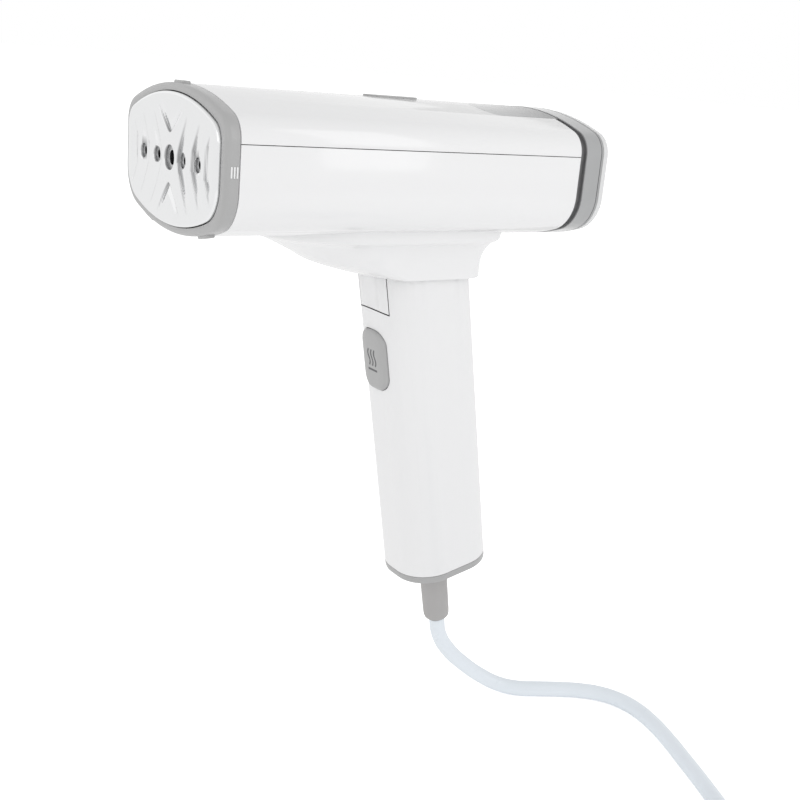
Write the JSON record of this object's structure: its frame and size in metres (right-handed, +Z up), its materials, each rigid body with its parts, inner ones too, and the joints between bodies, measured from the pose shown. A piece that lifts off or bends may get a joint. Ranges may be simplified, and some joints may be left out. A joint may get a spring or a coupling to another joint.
{
  "type": "handheld garment steamer",
  "caption": "Handheld garment steamer with an arched barrel, a flat steam plate with grooves and holes, a slide-out water tank, a folding oval handle with a trigger, and a free mains cord.",
  "frame": {"origin": "middle of the grip, on the handle's own axis", "axes": "+Y runs along the barrel from the steam plate to the water tank, +Z points up, and +X points across the object, to the right of someone who looks along +Y"},
  "size_m": [0.2785, 0.241, 0.2979],
  "materials": {
    "plate_metal": "polished",
    "grey_plastic": "satin",
    "white_plastic": "gloss",
    "smoke_plastic": "translucent gloss",
    "clear_plastic": "translucent gloss",
    "cast_aluminium": "cast",
    "steel": "satin",
    "silicone": "matte",
    "black_plastic": "matte",
    "circuit_board": "satin",
    "brass": "satin",
    "cord_sheath": "satin"
  },
  "bodies": {
    "handle": {"handle_sleeve": "white_plastic", "hinge_frame": "grey_plastic", "hinge_pin": "steel", "hinge_bush_right": "brass", "hinge_bush_left": "brass", "micro_switch": "black_plastic", "trigger_spring": "steel", "handle_chassis": "black_plastic", "control_board": "circuit_board", "suppression_capacitor": "black_plastic", "pump_driver": "black_plastic", "cord_clamp": "black_plastic", "handle_bottom_cap": "grey_plastic", "cap_screw_right": "steel", "cap_screw_left": "steel", "strain_relief": "grey_plastic", "power_cord": "cord_sheath", "cord_coil": "cord_sheath", "coil_tie": "black_plastic", "plug_body": "cord_sheath", "plug_pin_left": "steel", "plug_pin_right": "steel"},
    "head": {"steam_plate": "plate_metal", "front_bezel": "grey_plastic", "plate_gasket": "silicone", "steam_chamber": "cast_aluminium", "heating_element": "steel", "chamber_cover": "steel", "thermostat": "steel", "thermal_fuse": "brass", "heat_shield": "black_plastic", "barrel_upper_shell": "white_plastic", "barrel_lower_shell": "white_plastic", "shell_screw_1": "steel", "shell_screw_2": "steel", "shell_screw_3": "steel", "shell_screw_4": "steel", "pump": "black_plastic", "pump_bracket": "grey_plastic", "steam_hose": "silicone", "feed_hose": "silicone", "bay_bulkhead": "black_plastic", "tank_socket": "grey_plastic", "latch_pin": "steel", "latch_spring": "steel", "hinge_tongue": "white_plastic"},
    "tank": {"water_tank": "smoke_plastic", "tank_rear_cover": "clear_plastic", "tank_nozzle": "grey_plastic", "nozzle_seal": "silicone"},
    "fill_plug": {"tank_fill_plug": "silicone"},
    "release": {"tank_release_button": "white_plastic"},
    "latch": {"tank_latch": "grey_plastic"},
    "trigger": {"trigger_button": "grey_plastic", "switch_plunger": "black_plastic"}
  },
  "joints": [
    {"name": "fold", "type": "hinge", "parent": "handle", "child": "head", "pos_m": [0, -0.03002, 0.06645], "axis": [1, 0, 0], "range_deg": [0, 90]},
    {"name": "tank_slide", "type": "slide", "parent": "head", "child": "tank", "axis": [0, 1, 0], "range_m": [0, 0.044]},
    {"name": "fill_plug_pull", "type": "slide", "parent": "tank", "child": "fill_plug", "axis": [0, 0, -1], "range_m": [0, 0.008]},
    {"name": "release_press", "type": "slide", "parent": "head", "child": "release", "axis": [0, 0, -1], "range_m": [0, 0.002], "stiffness_N_per_m": 600, "springref_m": -0.002},
    {"name": "latch_swing", "type": "hinge", "parent": "head", "child": "latch", "pos_m": [0, -0.0198, 0.13558], "axis": [1, 0, 0], "range_deg": [0, 12], "deforming": ["latch_spring"]},
    {"name": "trigger_press", "type": "slide", "parent": "handle", "child": "trigger", "axis": [0, 0.9811, 0.1934], "range_m": [0, 0.003], "stiffness_N_per_m": 500, "springref_m": -0.002, "deforming": ["trigger_spring"]}
  ],
  "couplings": [
    {"joint": "latch_swing", "follows": "release_press", "rad_per_m": 100}
  ]
}
